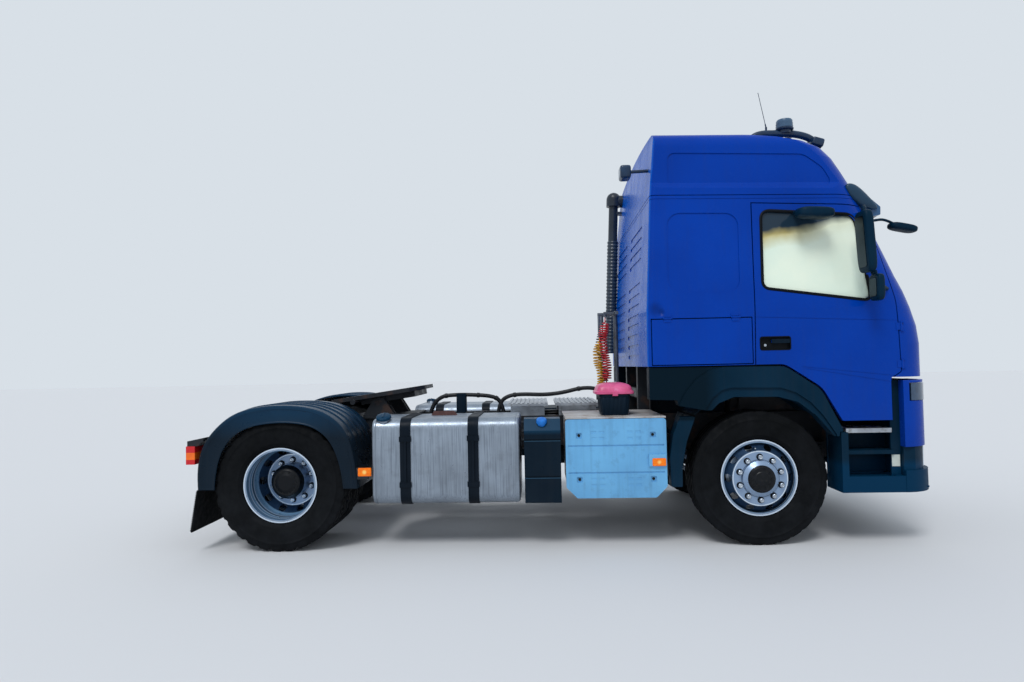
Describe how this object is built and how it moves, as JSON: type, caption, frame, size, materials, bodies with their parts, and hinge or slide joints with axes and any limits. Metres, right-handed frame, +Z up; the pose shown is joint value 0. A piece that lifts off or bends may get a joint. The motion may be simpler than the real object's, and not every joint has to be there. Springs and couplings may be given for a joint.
{
  "type": "semi truck tractor unit",
  "caption": "Two-axle highway tractor unit: high-roof sleeper cab that tilts, steered front wheels, driven twin rear wheels, side tanks, fifth wheel coupling.",
  "frame": {"origin": "on the ground, under the middle of the overall length, centred across", "axes": "+X forward, +Y to the truck's left, +Z up"},
  "size_m": [5.9598, 3.01, 3.8099],
  "materials": {
    "body_blue": "gloss",
    "trim_grey": "satin",
    "black_plastic": "matte",
    "tyre_rubber": "matte",
    "flap_rubber": "matte",
    "rim_silver": "satin",
    "frame_black": "satin",
    "cast_grey": "matte",
    "tank_metal": "brushed",
    "strap_black": "matte",
    "deck_metal": "worn",
    "cover_silver": "satin",
    "deck_brown": "matte",
    "stack_grey": "satin",
    "bar_chrome": "polished",
    "side_glass": "clear",
    "visor_smoke": "gloss",
    "lamp_clear": "gloss",
    "lamp_amber": "gloss",
    "cushion_fabric": "woven",
    "line_red": "satin",
    "line_yellow": "satin",
    "line_black": "satin",
    "lid_red": "satin"
  },
  "bodies": {
    "chassis": {"chassis_frame": "frame_black", "powertrain": "cast_grey", "front_axle_beam": "cast_grey", "suspension": "frame_black", "rear_axle_housing": "cast_grey", "fuel_tanks": "tank_metal", "tank_straps": "strap_black", "filler_caps": "black_plastic", "fluid_tank": "black_plastic", "exhaust_box": "deck_brown", "exhaust_cover": "cover_silver", "battery_and_air": "black_plastic", "walkways": "deck_metal", "toolbox": "black_plastic", "rear_mudguards": "black_plastic", "steps_and_wings": "trim_grey", "bumper": "trim_grey", "corner_panels": "body_blue", "headlamps": "lamp_clear", "marker_lamps": "lamp_amber", "fifth_wheel_mount": "frame_black", "hose_stand": "bar_chrome", "coil_red": "line_red", "coil_yellow": "line_yellow", "coil_black": "line_black", "conduits": "line_black"},
    "cab": {"cab_shell": "body_blue", "cab_roof": "body_blue", "windscreen": "side_glass", "sun_visor": "visor_smoke", "arch_trims": "trim_grey", "intake_stack": "stack_grey", "roof_bar": "bar_chrome", "front_mirror": "trim_grey", "seats": "cushion_fabric", "dashboard": "trim_grey"},
    "door_left": {"door_left": "body_blue", "door_glass_left": "side_glass", "mirrors_left": "trim_grey"},
    "door_right": {"door_right": "body_blue", "door_glass_right": "side_glass", "mirrors_right": "trim_grey"},
    "locker_left": {"locker_left": "body_blue"},
    "locker_right": {"locker_right": "body_blue"},
    "front_flap": {"front_flap": "body_blue"},
    "steering_wheel": {"steering_wheel": "black_plastic"},
    "knuckle_left": {"knuckle_left": "cast_grey"},
    "knuckle_right": {"knuckle_right": "cast_grey"},
    "track_rod": {"track_rod": "frame_black"},
    "wheel_front_left": {"tyre_front_left": "tyre_rubber", "rim_front_left": "rim_silver"},
    "wheel_front_right": {"tyre_front_right": "tyre_rubber", "rim_front_right": "rim_silver"},
    "wheels_rear_left": {"tyres_rear_left": "tyre_rubber", "rims_rear_left": "rim_silver"},
    "wheels_rear_right": {"tyres_rear_right": "tyre_rubber", "rims_rear_right": "rim_silver"},
    "fifth_wheel": {"fifth_wheel_plate": "frame_black"},
    "toolbox_lid": {"toolbox_lid": "lid_red"}
  },
  "joints": [
    {"name": "cab_tilt", "type": "hinge", "parent": "chassis", "child": "cab", "pos_m": [2.865, 0, 1.1], "axis": [0, 1, 0], "range_deg": [0, 60]},
    {"name": "door_left_hinge", "type": "hinge", "parent": "cab", "child": "door_left", "pos_m": [2.662, 1.248, 1.8], "axis": [0, 0, -1], "range_deg": [0, 75]},
    {"name": "door_right_hinge", "type": "hinge", "parent": "cab", "child": "door_right", "pos_m": [2.662, -1.248, 1.8], "axis": [0, 0, 1], "range_deg": [0, 75]},
    {"name": "locker_left_hinge", "type": "hinge", "parent": "cab", "child": "locker_left", "pos_m": [1.13, 1.248, 1.79], "axis": [1, 0, 0], "range_deg": [0, 75]},
    {"name": "locker_right_hinge", "type": "hinge", "parent": "cab", "child": "locker_right", "pos_m": [1.13, -1.248, 1.79], "axis": [-1, 0, 0], "range_deg": [0, 75]},
    {"name": "front_flap_hinge", "type": "hinge", "parent": "cab", "child": "front_flap", "pos_m": [2.948, 0, 1.555], "axis": [0, -1, 0], "range_deg": [0, 80]},
    {"name": "steering_wheel_turn", "type": "hinge", "parent": "cab", "child": "steering_wheel", "pos_m": [2.22, 0.6, 2.01], "axis": [-0.5299, 0, 0.848], "range_deg": [-720, 720]},
    {"name": "steer_left", "type": "hinge", "parent": "chassis", "child": "knuckle_left", "pos_m": [1.58, 0.89, 0.525], "axis": [0, 0, 1], "range_deg": [-40, 40]},
    {"name": "steer_right", "type": "hinge", "parent": "chassis", "child": "knuckle_right", "pos_m": [1.58, -0.89, 0.525], "axis": [0, 0, 1], "range_deg": [-40, 40]},
    {"name": "track_rod_eye", "type": "hinge", "parent": "knuckle_left", "child": "track_rod", "pos_m": [1.37, 0.89, 0.43], "axis": [0, 0, 1], "range_deg": [-40, 40]},
    {"name": "wheel_front_left_spin", "type": "hinge", "parent": "knuckle_left", "child": "wheel_front_left", "pos_m": [1.58, 1.025, 0.525], "axis": [0, 1, 0], "continuous": true},
    {"name": "wheel_front_right_spin", "type": "hinge", "parent": "knuckle_right", "child": "wheel_front_right", "pos_m": [1.58, -1.025, 0.525], "axis": [0, 1, 0], "continuous": true},
    {"name": "wheels_rear_left_spin", "type": "hinge", "parent": "chassis", "child": "wheels_rear_left", "pos_m": [-2.22, 0.924, 0.525], "axis": [0, 1, 0], "continuous": true},
    {"name": "wheels_rear_right_spin", "type": "hinge", "parent": "chassis", "child": "wheels_rear_right", "pos_m": [-2.22, -0.924, 0.525], "axis": [0, 1, 0], "continuous": true},
    {"name": "fifth_wheel_rock", "type": "hinge", "parent": "chassis", "child": "fifth_wheel", "pos_m": [-1.62, 0, 1.15], "axis": [0, 1, 0], "range_deg": [0, 20]},
    {"name": "toolbox_lid_hinge", "type": "hinge", "parent": "chassis", "child": "toolbox_lid", "pos_m": [0.4665, -0.78, 1.1813], "axis": [-1, 0, 0], "range_deg": [0, 100]}
  ],
  "couplings": [
    {"joint": "steer_right", "follows": "steer_left", "ratio": 1},
    {"joint": "track_rod_eye", "follows": "steer_left", "ratio": -1},
    {"joint": "steering_wheel_turn", "follows": "steer_left", "ratio": 18}
  ]
}
